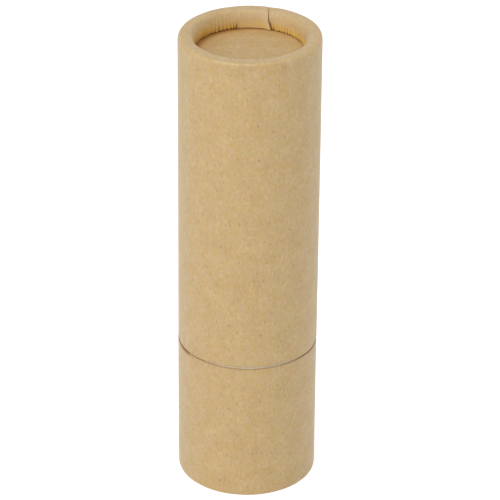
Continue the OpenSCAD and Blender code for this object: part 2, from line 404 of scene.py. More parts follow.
PAPER = 0.2
WALL_R = high("cap_wrap")[0]
TUCK_R = 7.85
SOFT_ROLL = (0.62, 0.78)
CRISP_ROLL = (0.34, 0.44)
FOOT_ROLL = (0.20, 0.55)
INNER_ROLL = (0.60, 1.35)
EDGE_ROWS = (0, 0.16, 0.42, 0.58)
WALL_SHARES = (0.25, 0.6)
RIM_ROWS = (2.4, 1.0, 0.3)
ROLL_STEPS = 8
TUCK_STEPS = 8
OUTER_START = len(EDGE_ROWS + WALL_SHARES + RIM_ROWS)
INNER_START = OUTER_START + ROLL_STEPS + 1
TUCK_START = INNER_START + ROLL_STEPS


def section(z_open, z_end, z_flap, outer_roll):
    """Outer face of the sheet, as (radius, height) points: from the cut edge at z_open over
    the folded end at z_end, and down inside to the flap's edge at z_flap."""
    away = 1 if z_end > z_open else -1
    crest = abs(z_end - z_open)
    wall = crest - outer_roll[1]
    heights = [*EDGE_ROWS, *(wall * share for share in WALL_SHARES), *(wall - drop for drop in RIM_ROWS)]
    points = [(WALL_R, height) for height in heights]
    turns = [math.pi / 2 * step / ROLL_STEPS for step in range(ROLL_STEPS + 1)]
    for turn in turns:
        points.append((WALL_R - outer_roll[0] * (1 - math.cos(turn)), wall + outer_roll[1] * math.sin(turn)))
    for turn in turns:
        points.append((TUCK_R + INNER_ROLL[0] * (1 - math.sin(turn)),
                       crest - INNER_ROLL[1] * (1 - math.cos(turn))))
    start, end = crest - INNER_ROLL[1], abs(z_flap - z_open)
    for step in range(1, TUCK_STEPS + 1):
        points.append((TUCK_R, start + (end - start) * step / TUCK_STEPS))
    return np.array([(radius, z_open + away * height) for radius, height in points])


print("rows of a sheet:", TUCK_START + TUCK_STEPS + 1)

# %% [markdown]
# ### Rolling the sheet
#
# The roll starts at the sheet's first edge, hidden under the seam, and ends at its last edge,
# which is the seam. Where the sheet turns in, the same overlap spreads over a wider angle,
# because the tube is narrower there, and the seam leans. From here on every place round the
# tube is an angle in degrees from +Y towards +X, clockwise from above, so 180 is in front.
#
# Each step below raises or sinks the points a little, and notes where the paper is creased or
# rubbed, and where shade or light is painted on it. What is known of the points travels from
# step to step in one plain object. A name that ends in ROW or ROWS counts rows of the grid, and
# one that ends in BROWN or PALE says how strong a mark is, from 0 to 1; where such a name also
# holds SHADE or LIGHT, the mark is painted shade or light. The steps are functions, because
# both wraps are made by them.

# %% Helpers for places on a sheet
def smooth(value, start, end):
    """0 before start, 1 after end, and a smooth step between."""
    t = np.clip((value - start) / (end - start), 0, 1)
    return t * t * (3 - 2 * t)


def near(angle, middle, reach):
    """1 at the middle, and next to nothing beyond twice the reach, in degrees round the tube."""
    off = (angle - middle + 180) % 360 - 180
    return np.exp(-(off / reach) ** 2)


def hills(angle, places):
    """Sum of hills round the tube, each given as (height, middle, reach)."""
    return sum(height * near(angle, middle, reach) for height, middle, reach in places)


class Points:
    """What is known of a sheet's points: one array for each name, with one value a point."""


def waves(at, rows):
    """Sum of waves round the tube, each given as (height, number of them, shift by the seed)."""
    return sum(height * np.sin(number * at.rad + shift * at.seed) for height, number, shift in rows)


print("near falls to", round(near(10, 0, 5), 3), "at twice its reach")

# %% Flat sheet
COLUMNS = 1400
OVERLAP = 21.0


def flat_sheet(name, rows):
    """A flat grid. Returns it with each point's row and its turn from the first edge."""
    deselect()
    bpy.ops.mesh.primitive_grid_add(x_subdivisions=COLUMNS, y_subdivisions=rows - 1, size=1)
    sheet = bpy.context.object
    sheet.name = name
    flat = np.empty(len(sheet.data.vertices) * 3)
    sheet.data.vertices.foreach_get("co", flat)
    flat = flat.reshape(-1, 3)
    row = np.rint((flat[:, 1] + 0.5) * (rows - 1)).astype(int)
    return sheet, row, (flat[:, 0] + 0.5) * (360 + OVERLAP)


print("overlap:", round(math.radians(OVERLAP) * WALL_R, 1), "mm")

# %% Roll
SEAM = 12.8
# how far the edges spread as the sheet turns in, and then down to its cut edge
FIRST_SPREAD = (3.0, 2.2)
LAST_SPREAD = (6.0, 2.8)
SPREAD_ENDS = 60
CRISP_PLACES = [(1.0, 180, 48), (0.8, 62, 34)]
TUCK_BEGINS = 0.4
SLOW_WAVE = [(0.018, 3, 1)]
SLOW_WAVE_PER_MM = 0.09
FAST_WAVE = [(0.008, 11, 2.1)]


def wind(row, turned, soft, crisp, seed):
    """Carries the points to their places on the roll, between a soft and a crisp outline."""
    at = Points()
    at.row, at.turned, at.seed = row, turned, seed
    along = np.concatenate([[0], np.cumsum(np.hypot(*np.diff(soft, axis=0).T))])
    at.along = along[row]
    # fold goes from 0 on the wall to 1 in the tuck, and depth from 0 at its top to 1 at its edge
    at.depth = np.clip((along - along[TUCK_START]) / (along[-1] - along[TUCK_START]), 0, 1)[row]
    at.fold = ((WALL_R - soft[:, 0]) / (WALL_R - TUCK_R))[row]
    at.tucked = smooth(along, along[INNER_START] + TUCK_BEGINS, along[-1])[row]
    at.first_edge = SEAM - OVERLAP - at.fold * (FIRST_SPREAD[0] + FIRST_SPREAD[1] * at.depth)
    at.last_edge = SEAM + LAST_SPREAD[0] * at.fold + LAST_SPREAD[1] * at.depth
    whole = 360 + OVERLAP
    angle = SEAM - OVERLAP + turned
    angle = angle + (at.last_edge - SEAM) * smooth(turned, whole - SPREAD_ENDS, whole)
    at.angle = angle + (at.first_edge - SEAM + OVERLAP) * (1 - smooth(turned, 0, SPREAD_ENDS))
    at.rad = np.radians(at.angle)

    sharp = np.clip(hills(at.angle, CRISP_PLACES), 0, 1)[:, None]
    at.place = soft[row] * (1 - sharp) + crisp[row] * sharp
    # 1 on the cap, whose folded end is up, and -1 on the base
    at.side = 1 if soft[INNER_START, 1] > soft[0, 1] else -1
    tangent = np.gradient(soft, along, axis=0)
    tangent /= np.linalg.norm(tangent, axis=1)[:, None]
    at.out = (np.stack([tangent[:, 1], -tangent[:, 0]], 1) * at.side)[row]

    # no tube is wound quite even
    at.lift = waves(at, SLOW_WAVE) * np.sin(SLOW_WAVE_PER_MM * at.place[:, 1] + seed)
    at.lift += waves(at, FAST_WAVE)
    at.creased = np.zeros(len(row))
    at.rubbed = np.zeros(len(row))
    return at


print("seam:", SEAM, "degrees on the wall,", SEAM + LAST_SPREAD[0] + LAST_SPREAD[1], "at the tuck's edge")

# %% [markdown]
# ### The overlap
#
# On the wall the second layer is flush, because the first one is pressed into the soft board
# under it. Where the sheet turns in, the board's own edge leaves no room for that. There the
# second layer rises instead, and the first swells up beside the seam to meet its edge. The
# first layer's hidden edge shows through as a faint ridge, a little to the left of the seam.

# %% Overlap
AIR = 0.01
STEP_DOWN = (-0.2, 0.5)
SUNK = 0.05
SUNK_REACH = 12
BOARD_EDGE_ROW = 3.6
TIGHT_ROWS = 1.9
EASING_ROWS = 5.5
NO_ROOM = 0.95
SWELL = 0.09
SWELL_STARTS = (0, 0.6)
SWELL_ENDS = (1, 14)
GROOVE = (0.035, 0.03)
GROOVE_PLACE = (0.30, 0.35)
FIRST_EDGE_SOFT = 1.5
LAST_EDGE_SOFT = 1
RIDGE = 0.035
RIDGE_REACH = 0.9
RIDGE_PALE = 0.12


def lay_over(at):
    """Lays the second layer over the first, and shapes what shows of the step."""
    at.on_top = at.turned > 180
    at.under = ~at.on_top
    past_board = at.row - INNER_START - BOARD_EDGE_ROW
    at.tight = np.exp(-(past_board / TIGHT_ROWS) ** 2)
    raised = np.exp(-(past_board / np.where(past_board > 0, EASING_ROWS, TIGHT_ROWS)) ** 2)
    step = PAPER + AIR - SUNK
    press = step * (1 - NO_ROOM * raised)
    past_seam = at.angle - at.last_edge

    # the first layer is pressed down under the second, and eases up beside it
    at.lift -= press * at.under * (1 - smooth(past_seam, *STEP_DOWN))
    at.lift -= SUNK * at.under * (1 - smooth(past_seam, 0, SUNK_REACH))
    swollen = smooth(past_seam, *SWELL_STARTS) * (1 - smooth(past_seam, *SWELL_ENDS))
    at.lift += SWELL * raised * swollen * at.under
    groove = near(at.angle, at.last_edge + GROOVE_PLACE[0], GROOVE_PLACE[1])
    at.lift -= (GROOVE[0] - GROOVE[1] * at.fold) * groove * at.under

    # the second layer rises by the rest of the step
    begins = at.first_edge + 360
    at.double = smooth(at.angle, begins - FIRST_EDGE_SOFT, begins) + 1 - smooth(past_seam, 0, LAST_EDGE_SOFT)
    at.double = np.clip(at.double, 0, 1)
    at.lift += (step - press) * at.double * at.on_top
    ridge = near(at.angle, at.first_edge, RIDGE_REACH) * at.on_top
    at.lift += RIDGE * ridge
    at.rubbed += RIDGE_PALE * ridge * (at.row > OUTER_START)


print("the second layer rises by up to", round((PAPER + AIR - SUNK) * NO_ROOM, 2), "mm")

# %% [markdown]
# ### Pleats
#
# The tuck is narrower than the wall, so the sheet has too much paper there and gathers into
# pleats: rounded lobes with sharp valleys between them. The valleys are painted brown, partly
# for the bent fibres and partly as painted shade. The pleats are uneven, because fingers or a
# cone push them in, and there are none where two layers lie and are too stiff. Sine waves that
# don't keep step with each other shift and size them. The left of the tuck, which faces away
# from the key light, is painted darker and browner as painted shade, and so is the tuck towards
# the flap's edge, where it meets the disc.

# %% Pleats
PLEATS = 104
PLEAT_HEIGHT = 0.21
LOBE_POWER = 1.1
PLEAT_DRIFT = [(2.0, 5, 1), (1.5, 9, 2)]
PLEAT_LEAN = [(0.35, 7, 1)]
PLEAT_SIZE = 0.80
PLEAT_SIZES = [(0.15, 4, 3), (0.35, 19, 1)]
SIZE_LIMITS = (0.25, 1.3)
FLATTENED = 0.35
FLATTENED_REACH = 14
# the valleys' brown is partly painted shade
VALLEY_CREASE_AND_SHADE_BROWN = 0.7
# the tuck's left is painted darker as painted shade, and the glue tint reaches higher there
GLUE_AND_SHADE_LEFT = (285, 55)
LEFT_PAINTED_SHADE_BROWN = 0.46
# painted shade towards the flap's edge, at the bottom of the recess
FLAP_PAINTED_SHADE_BROWN = (0.20, 0.25)


def gather(at):
    """Pleats in the tuck. The brown of their valleys is partly painted shade, and the brown at
    the tuck's left and towards the flap's edge is painted shade.
    """
    drift = waves(at, PLEAT_DRIFT) + waves(at, PLEAT_LEAN) * at.depth
    at.lobes = np.abs(np.sin(PLEATS / 2 * at.rad + drift)) ** LOBE_POWER
    at.size = np.clip(PLEAT_SIZE + waves(at, PLEAT_SIZES), *SIZE_LIMITS)
    # the hidden first edge holds the pleats beside it flat
    free = 1 - FLATTENED * near(at.angle, at.first_edge, FLATTENED_REACH)
    gathered = at.tucked * (1 - at.double) * at.size * free
    at.lift += PLEAT_HEIGHT * gathered * at.lobes
    at.creased += VALLEY_CREASE_AND_SHADE_BROWN * gathered * (1 - at.lobes) ** 2
    at.from_left = near(at.angle, *GLUE_AND_SHADE_LEFT)
    at.creased += LEFT_PAINTED_SHADE_BROWN * at.tucked ** 1.6 * at.from_left
    at.creased += (FLAP_PAINTED_SHADE_BROWN[0] + FLAP_PAINTED_SHADE_BROWN[1] * at.from_left) * at.depth ** 4


print("a pleat is", round(math.tau * TUCK_R / PLEATS, 2), "mm wide")

# %% [markdown]
# ### The seam in the tuck
#
# The last edge is free at its corner, so it stands off and throws a wedge of shadow on the
# layer below, which also sinks there and is painted brown in it as painted shade. A thin line
# of painted shade runs beside the seam on the layer below. The seam's cut edge is brown on the
# rim, where it is bent, and pale deeper down. The sheet is stretched and pale where it bends
# into the tuck, and paler still at the back, as painted light where the light falls in. The
# double layer, at the back of the tuck, is painted paler than the rest, as painted light from
# the front.

# %% Free corner
# a place at the seam is (degrees past the edge, reach in degrees)
CORNER_HEIGHT = 0.30
CORNER_REACH = 10
WEDGE_PLACE = (1.2, 1.6)
WEDGE_DEPTH = 0.18
# brown painted as shade in the wedge under the free corner
WEDGE_PAINTED_SHADE_BROWN = 0.9
# a line of painted shade beside the seam, on the layer below
UNDER_SEAM_PLACE = (0.35, 0.62)
UNDER_SEAM_PAINTED_SHADE_BROWN = (0.12, 0.44)
CUT_EDGE = (0.8, 0.3)
CUT_EDGE_PALE = 0.8
CUT_EDGE_BROWN = 0.5


def free_corner(at):
    """The seam's free corner with the shadow under it, painted shade in that shadow and beside
    the seam, and its cut edge.
    """
    whole = 360 + OVERLAP
    at.lift += CORNER_HEIGHT * smooth(at.turned, whole - CORNER_REACH, whole) * at.tucked
    wedge = near(at.angle, at.last_edge + WEDGE_PLACE[0], WEDGE_PLACE[1]) * at.under * at.tucked ** 1.8
    at.lift -= WEDGE_DEPTH * wedge
    seam_painted_shade = near(at.angle, at.last_edge + UNDER_SEAM_PLACE[0], UNDER_SEAM_PLACE[1]) * at.under
    # painted shade in the wedge and beside the seam
    at.creased += WEDGE_PAINTED_SHADE_BROWN * wedge
    at.creased += seam_painted_shade * (UNDER_SEAM_PAINTED_SHADE_BROWN[0] + UNDER_SEAM_PAINTED_SHADE_BROWN[1] * smooth(at.fold, 0.2, 1.0))
    cut_edge = smooth(at.turned, whole - CUT_EDGE[0], whole - CUT_EDGE[1])
    inside = at.tucked ** 1.5
    at.rubbed += CUT_EDGE_PALE * cut_edge * inside
    at.creased += CUT_EDGE_BROWN * cut_edge * smooth(at.fold, 0.1, 0.4) * (1 - inside)


print("the free corner stands off by", CORNER_HEIGHT, "mm")

# %% Double layer
NICK_PLACE = (-1.3, 0.7)
# the nick's brown is partly painted shade
NICK_CREASE_AND_SHADE_BROWN = 0.8
STRETCHED_ROW = 7.5
STRETCHED_ROWS = 4.8
# paler, partly from stretching and partly painted light, most at the back
STRETCHED_AND_PAINTED_LIGHT_PALE = (0.05, 0.36)
PAINTED_LIGHT_MOST = (5, 48)
# painted light on the double layer at the back of the tuck
DOUBLE_PAINTED_LIGHT_PALE = 0.30
DEEPEST = -0.17
DEEPEST_IN_ROLL = 0.16


def colour_double(at):
    """The nick at the first edge, browned partly as painted shade, and the pale of the stretched
    fold, partly painted light, and of the double layer, which is painted light.
    """
    at.nick = near(at.angle, at.first_edge + NICK_PLACE[0], NICK_PLACE[1]) * at.on_top
    at.creased += NICK_CREASE_AND_SHADE_BROWN * at.nick * at.tucked
    stretched = np.exp(-((at.row - INNER_START - STRETCHED_ROW) / STRETCHED_ROWS) ** 2)
    at.rubbed += stretched * (STRETCHED_AND_PAINTED_LIGHT_PALE[0] + STRETCHED_AND_PAINTED_LIGHT_PALE[1] * near(at.angle, *PAINTED_LIGHT_MOST))
    at.rubbed += DOUBLE_PAINTED_LIGHT_PALE * at.double * at.on_top * at.tucked ** 0.8
    # no deeper than the board under the sheet lets it
    at.lift = np.maximum(at.lift, DEEPEST + DEEPEST_IN_ROLL * at.tight)


print("the sheet sinks by up to", -DEEPEST, "mm into the board")

# %% [markdown]
# ### The front of the rim
#
# In front the cap's fold is sharp, and two stretches of it are raised a little and painted
# pale: partly rubbed, and partly a painted highlight where the fold catches the light. Two
# short wrinkles run down from it at the right, where the sheet was pulled askew, and their
# brown is partly painted shade.

# %% Front fold
# stretches of the front fold, rubbed and with a painted highlight
# where a stretch starts, is full, fades and ends
RUBBED_AND_HIGHLIGHT_STRETCHES = [(173, 176, 183, 185), (186, 191, 205, 215)]
RUBBED_PROUD = 0.03
# pale of rubbing and of a painted highlight
RUBBED_AND_HIGHLIGHT_PALE = 0.55
RUBBED_ROWS = 1.3
UNEVEN = 0.3
WRINKLES = (153.8, 151.0)
WRINKLE_REACH = 0.55
WRINKLE_DEPTH = 0.05
# the wrinkles' brown is partly painted shade
WRINKLE_CREASE_AND_SHADE_BROWN = 0.30
WRINKLE_END_ROW = OUTER_START + 3


def mark_front(at):
    """Stretches of the cap's front fold, rubbed and with a painted highlight, and its wrinkles,
    browned partly as painted shade.
    """
    on_fold = np.exp(-((at.row - OUTER_START - ROLL_STEPS / 2) / RUBBED_ROWS) ** 2)
    line = sum(smooth(at.angle, start, full) * (1 - smooth(at.angle, fading, end))
               for start, full, fading, end in RUBBED_AND_HIGHLIGHT_STRETCHES)
    line = line * (1 - UNEVEN + UNEVEN * np.sin(47 * at.rad) * np.sin(19 * at.rad + 1))
    at.lift += RUBBED_PROUD * on_fold * line
    at.rubbed += RUBBED_AND_HIGHLIGHT_PALE * on_fold * line
    height = at.place[:, 1]
    below = smooth(height, height.max() - RIM_ROWS[0], height.max() - RIM_ROWS[1])
    below = below * (at.row < WRINKLE_END_ROW)
    for wrinkle in WRINKLES:
        crease = near(at.angle, wrinkle, WRINKLE_REACH) * below
        at.lift -= WRINKLE_DEPTH * crease
        at.creased += WRINKLE_CREASE_AND_SHADE_BROWN * crease


print("rubbed stretches:", len(RUBBED_AND_HIGHLIGHT_STRETCHES), "and wrinkles:", len(WRINKLES))

# %% [markdown]
# ### Cut edges
#
# The tuck's edge is ragged, drawn back into the valleys, with a nick where the first layer
# ends. At the joint the knife has pressed the cap's edge thin and left it a little low at the
# sides. The base's edge stands up against it, with two small dips. Both edges are painted dark
# brown in one spot at the left, as painted shade of the joint's gap. The spot's height of 2 is
# cut off at 1, which leaves it an even middle.

# %% Cut edges
RAGGED = [(0.05, 23, 1), (0.04, 57, 2)]
DRAWN_BACK = 0.26
NICK_DEPTH = 0.30
FLAP_EDGE_PALE = 0.5
JOINT_BROWN = 0.2
# painted shade of the joint's gap, in one spot at the left
GAP_PAINTED_SHADE_SPOT = [(2, 244, 7)]
SPOT_ROWS_CAP, SPOT_ROWS_BASE = 1, 2
EDGE_PRESSED = 0.10
EDGE_PROUD = 0.135
DIPS = [(0.15, 112, 14), (0.10, 250, 14)]
CAP_LOW_PLACES = [(0.28, 238, 30), (0.14, 115, 26)]


def trim(at):
    """Moves the cut edges of the tuck and of the joint, and colours them, with painted shade in
    one spot of the joint.
    """
    joint, flap = at.row == 0, at.depth == 1
    at.place = at.place + at.out * at.lift[:, None]
    ragged = np.clip(waves(at, RAGGED) + DRAWN_BACK * at.size * (1 - at.lobes), 0, 1)
    at.place[:, 1] += at.side * flap * (ragged * (1 - at.double) + NICK_DEPTH * at.nick)
    at.rubbed += FLAP_EDGE_PALE * at.double * flap
    at.creased += JOINT_BROWN * joint
    spot_rows = SPOT_ROWS_CAP if at.side == 1 else SPOT_ROWS_BASE
    # painted shade of the joint's gap
    at.creased += np.clip(hills(at.angle, GAP_PAINTED_SHADE_SPOT), 0, 1) * (at.row < spot_rows)
    dips = hills(at.angle, DIPS)
    if at.side == 1:
        at.place[:, 0] -= EDGE_PRESSED * joint
        at.place[:, 1] -= (hills(at.angle, CAP_LOW_PLACES) + dips) * joint
    else:
        at.place[:, 1] += (EDGE_PROUD - dips) * joint
        at.place[:, 1] = np.maximum(at.place[:, 1], 0)


print("the base's edge stands up by", EDGE_PROUD, "mm")

# %% [markdown]
# ### Making both wraps
#
# The points are now set on the grid, with the sheet's millimetres as its UV map and the three
# marks as attributes. Solidify thickens it inwards, so the outer face stays where it was put.
# The cap's rows run upwards and the base's downwards, which turns the cap's faces inwards, so
# those are flipped first.

# %% Set the points
# how the glue tint, which is also painted bounce light, grows into the tuck
GLUE_AND_BOUNCE_POWER = (2.4, 1.3)
GLUE_AND_BOUNCE_AMOUNT = (0.84, 0.16)


def set_points(sheet, at):
    """Puts the points where they belong, and stores what the kraft material reads."""
    mesh = sheet.data
    radius, height = at.place.T
    placed = np.stack([radius * np.sin(at.rad), radius * np.cos(at.rad), height], 1) * MM
    mesh.vertices.foreach_set("co", placed.ravel())
    sheet_mm = np.stack([np.radians(at.turned) * WALL_R, at.along], 1)
    corners = np.empty(len(mesh.loops), dtype=int)
    mesh.loops.foreach_get("vertex_index", corners)
    mesh.uv_layers[0].data.foreach_set("uv", (sheet_mm[corners] * UV_PER_MM).ravel())
    # the glue tint, also painted bounce light in the recess, grows towards the flap's
    # edge, and reaches higher at the left
    glued = at.tucked ** (GLUE_AND_BOUNCE_POWER[0] - GLUE_AND_BOUNCE_POWER[1] * at.from_left)
    glued = glued * (GLUE_AND_BOUNCE_AMOUNT[0] + GLUE_AND_BOUNCE_AMOUNT[1] * at.from_left)
    for mark, values in (("glued", glued), ("creased", at.creased), ("rubbed", at.rubbed)):
        stored = mesh.attributes.new(mark, "FLOAT", "POINT")
        stored.data.foreach_set("value", np.clip(values, 0, 1))
    mesh.update()


print("one unit of the UV map is", 1 / UV_PER_MM, "mm of sheet")

# %% Thicken and finish
SHARP_FOLD = math.radians(40)


def thicken(sheet, faces_in):
    """Turns the faces outwards, and gives the sheet its thickness and smooth shading."""
    deselect()
    sheet.select_set(True)
    bpy.context.view_layer.objects.active = sheet
    if faces_in:
        bpy.ops.object.mode_set(mode="EDIT")
        bpy.ops.mesh.select_all(action="SELECT")
        bpy.ops.mesh.flip_normals()
        bpy.ops.object.mode_set(mode="OBJECT")
    solid = sheet.modifiers.new("thickness", "SOLIDIFY")
    solid.thickness = PAPER * MM
    solid.offset = -1
    bpy.ops.object.modifier_apply(modifier=solid.name)
    bpy.ops.object.shade_smooth_by_angle(angle=SHARP_FOLD)


def make_wrap(name, soft, crisp, seed, faces_in):
    """One wrap, from flat sheet to finished piece."""
    sheet, row, turned = flat_sheet(name, len(soft))
    at = wind(row, turned, soft, crisp, seed)
    lay_over(at)
    gather(at)
    free_corner(at)
    colour_double(at)
    if at.side == 1:
        mark_front(at)
    trim(at)
    set_points(sheet, at)
    thicken(sheet, faces_in)
    coat(sheet, kraft_wrap)
    flat_size = [round(math.radians(360 + OVERLAP) * WALL_R, 1), round(at.along.max(), 1)]
    print(name, "is cut to", flat_size, "mm and has", len(sheet.data.polygons), "faces")
    return sheet


# %% Cap wrap
FLAP_GAP = 0.08

cap_ends = low("cap_wrap")[2], high("cap_wrap")[2], high("cap_disc")[2] + FLAP_GAP
cap_wrap = make_wrap("kraft_cap_wrap", section(*cap_ends, SOFT_ROLL), section(*cap_ends, CRISP_ROLL),
                     seed=0.7, faces_in=True)
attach(cap_wrap, "cap")
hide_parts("cap_wrap")

# %% Base wrap
base_ends = high("base_wrap")[2], low("base_wrap")[2], low("base_disc")[2] - FLAP_GAP
foot = section(*base_ends, FOOT_ROLL)
base_wrap = make_wrap("kraft_base_wrap", foot, foot, seed=2.9, faces_in=False)
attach(base_wrap, "base")
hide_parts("base_wrap")

# %% Discs
for disc in ("cap_disc", "base_disc"):
    coat(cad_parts[disc], kraft_disc)
print("discs:", kraft_disc.name)

# %% [markdown]
# ## Tube board
#
# The tubes are wound from strips of grey board, made from waste paper. Strips of a third of a
# millimetre are glued on a slant over each other, so the bore shows the butt joint of the
# innermost strip as one long helix, and the cut edge shows the plies as fine rings. Recycled
# pulp is speckled with bits of darker paper. Glue from the disc stains the bore beside it, and
# the stain is dark enough to be painted shade as well, in the gap under the flap's edge. Those
# parts already have the right shape, so only their surface is new.

# %% Tube board
BOARD = colour("#e0d6c2")
BOARD_SHADE = colour("#c9bca2")
BOARD_SPECK = colour("#84755c")
# glue stain, also painted shade in the gap under the flap's edge
GLUE_STAIN_AND_SHADE = colour("#8a581c")
PLY = 0.35
PLY_LINE = 0.05
HELIX_LEAD = 28.0
BUTT_WIDTH = 0.14
BOARD_CLOUD = 1.5
SPECK = 0.25
PULP = 0.12
STAIN_AND_SHADE_REACH = (0.35, 0.7)
STAIN_AND_SHADE_UP = 0.1


def tube_board(name, stain_and_shade_z):
    """Spiral-wound board, stained brown by glue at the given height, in millimetres. The stain
    is also painted shade, in the gap under the flap's edge.
    """
    made, tree = new_material(name)
    where = add_node(tree, "ShaderNodeTexCoord").outputs["Object"]
    in_mm = add_node(tree, "ShaderNodeMapping", {"Vector": where, "Scale": (1 / MM,) * 3}).outputs[0]
    axes = add_node(tree, "ShaderNodeSeparateXYZ", {0: in_mm}).outputs
    noise = {}
    for size, detail in ((BOARD_CLOUD, 4.0), (SPECK, 1.0), (PULP, 2.0)):
        noise[size] = add_node(tree, "ShaderNodeTexNoise",
                               {"Vector": in_mm, "Scale": 1 / size, "Detail": detail}).outputs["Fac"]

    # the distance from the axis counts the plies on the cut edge
    flat = add_node(tree, "ShaderNodeMapping", {"Vector": in_mm, "Scale": (1, 1, 0)})
    radius = add_node(tree, "ShaderNodeVectorMath", {0: flat.outputs[0]}, operation="LENGTH")
    ply = add_node(tree, "ShaderNodeMath", {0: radius.outputs["Value"], 1: PLY / 2}, operation="PINGPONG")
    # height and angle together count the turns of the butt joint's helix
    angle = add_node(tree, "ShaderNodeMath", {0: axes["Y"], 1: axes["X"]}, operation="ARCTAN2")
    turn = add_node(tree, "ShaderNodeMath", {0: angle.outputs[0], 1: math.tau}, operation="DIVIDE")
    climb = add_node(tree, "ShaderNodeMath", {0: axes["Z"], 1: HELIX_LEAD}, operation="DIVIDE")
    turns = add_node(tree, "ShaderNodeMath", {0: climb.outputs[0], 1: turn.outputs[0]}, operation="ADD")
    helix = add_node(tree, "ShaderNodeMath", {0: turns.outputs[0], 1: 0.5}, operation="PINGPONG")
    butt = add_node(tree, "ShaderNodeMapRange",
                    {"Value": helix.outputs[0], "From Min": 0.0, "From Max": BUTT_WIDTH / HELIX_LEAD,
                     "To Min": 0.7, "To Max": 0.0}).outputs[0]
    above = add_node(tree, "ShaderNodeMath", {0: axes["Z"], 1: stain_and_shade_z}, operation="SUBTRACT")
    off_stain_and_shade = add_node(tree, "ShaderNodeMath", {0: above.outputs[0]}, operation="ABSOLUTE")

    tone = tinted(tree, BOARD, [
        (noise[BOARD_CLOUD], 0.35, 0.65, 0.8, BOARD_SHADE),
        (noise[SPECK], 0.66, 0.76, 0.6, BOARD_SPECK),
        (ply.outputs[0], PLY_LINE, 0.0, 0.45, BOARD_SHADE),
        (butt, 0.0, 1.0, 1.0, BOARD_SPECK),
        # glue stain beside the disc, also painted shade in the gap under the flap's edge
        (off_stain_and_shade.outputs[0], STAIN_AND_SHADE_REACH[1], STAIN_AND_SHADE_REACH[0], 0.9, GLUE_STAIN_AND_SHADE),
    ])
    pulp = add_node(tree, "ShaderNodeMapRange", {"Value": noise[PULP], "From Min": 0.2, "From Max": 0.8})
    relief = add_node(tree, "ShaderNodeBump",
                      {"Strength": 0.4, "Distance": 0.03 * MM, "Height": pulp.outputs[0]})
    groove = add_node(tree, "ShaderNodeBump",
                      {"Strength": 0.6, "Distance": 0.1 * MM, "Height": butt, "Normal": relief.outputs[0]},
                      invert=True)
    shader = add_node(tree, "ShaderNodeBsdfPrincipled",
                      {"Base Color": tone, "Normal": groove.outputs[0], "Roughness": 0.85})
    add_node(tree, "ShaderNodeOutputMaterial", {"Surface": shader.outputs[0]})
    return made


cap_board = tube_board("Grey board, spiral wound, cap", high("cap_disc")[2] + STAIN_AND_SHADE_UP)
base_board = tube_board("Grey board, spiral wound, base", low("base_disc")[2] - STAIN_AND_SHADE_UP)
coat(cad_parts["cap_tube"], cap_board)
coat(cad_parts["base_tube"], base_board)
print("tubes:", cap_board.name, "|", base_board.name)

# %% [markdown]
# ## Moulded polypropylene
#
# The plug, barrel, carrier and spindle are injection moulded in natural white polypropylene.
# It is slightly waxy and lets some light in, so its edges glow and its shadows are soft. The
# mould was spark-eroded, which leaves a fine even grain, and the melt leaves faint flow marks
# along the length of a part.

# %% Moulded polypropylene
PP_WHITE = colour("#e9e8e1")
PP_SHADE = colour("#dedcd2")
GRAIN = 0.06
FLOW_WIDTH, FLOW_LENGTH = 1.2 * MM, 9.0 * MM


def polypropylene():
    """White polypropylene whose gloss and shade follow the flow marks."""
    made, tree = new_material("Polypropylene, injection moulded")
    where = add_node(tree, "ShaderNodeTexCoord").outputs["Object"]
    drawn_out = add_node(tree, "ShaderNodeMapping",
                         {"Vector": where, "Scale": (1 / FLOW_WIDTH, 1 / FLOW_WIDTH, 1 / FLOW_LENGTH)})
    flow = add_node(tree, "ShaderNodeTexNoise",
                    {"Vector": drawn_out.outputs[0], "Scale": 1.0, "Detail": 3.0, "Distortion": 0.6})
    grain = add_node(tree, "ShaderNodeTexNoise", {"Vector": where, "Scale": 1 / (GRAIN * MM), "Detail": 1.0})
    roughness = add_node(tree, "ShaderNodeMapRange",
                         {"Value": flow.outputs["Fac"], "From Min": 0.3, "From Max": 0.7,
                          "To Min": 0.30, "To Max": 0.42})
    relief = add_node(tree, "ShaderNodeBump",
                      {"Strength": 0.25, "Distance": 0.01 * MM, "Height": grain.outputs["Fac"]})
    tone = tinted(tree, PP_WHITE, [(flow.outputs["Fac"], 0.0, 1.0, 1.0, PP_SHADE)])
    shader = add_node(tree, "ShaderNodeBsdfPrincipled",
                      {"Base Color": tone, "Roughness": roughness.outputs[0],
                       "Normal": relief.outputs[0], "IOR": 1.49, "Subsurface Weight": 0.25,
                       "Subsurface Radius": (1.0, 0.9, 0.7), "Subsurface Scale": 1.0 * MM})
    add_node(tree, "ShaderNodeOutputMaterial", {"Surface": shader.outputs[0]})
    return made


white_pp = polypropylene()
moulded = ("drive_plug", "barrel", "carrier", "spindle")
for part in moulded:
    coat(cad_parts[part], white_pp)
print("moulded:", ", ".join(moulded))

# %% [markdown]
# ## The screw
#
# The spindle carries a thread of two starts, with a lead of 4 mm, which lifts the carrier 4 mm
# in each turn. Its ridges have sloping flanks, so that the mould opens. The carrier's bore
# carries two ridges of its own that run in the gaps. All are right-handed: they climb as they
# turn from +X to +Y. Each is a small closed outline swept by the Screw modifier, and sinks a
# little into the part that carries it. Its ends are drawn into that part, as a mould cuts
# them.

# %% Screw ridges
LEAD = 4.0
STARTS = 2
TURN_STEPS = 48
FADE_LENGTH = 1.2
SHARP_EDGE = math.radians(35)


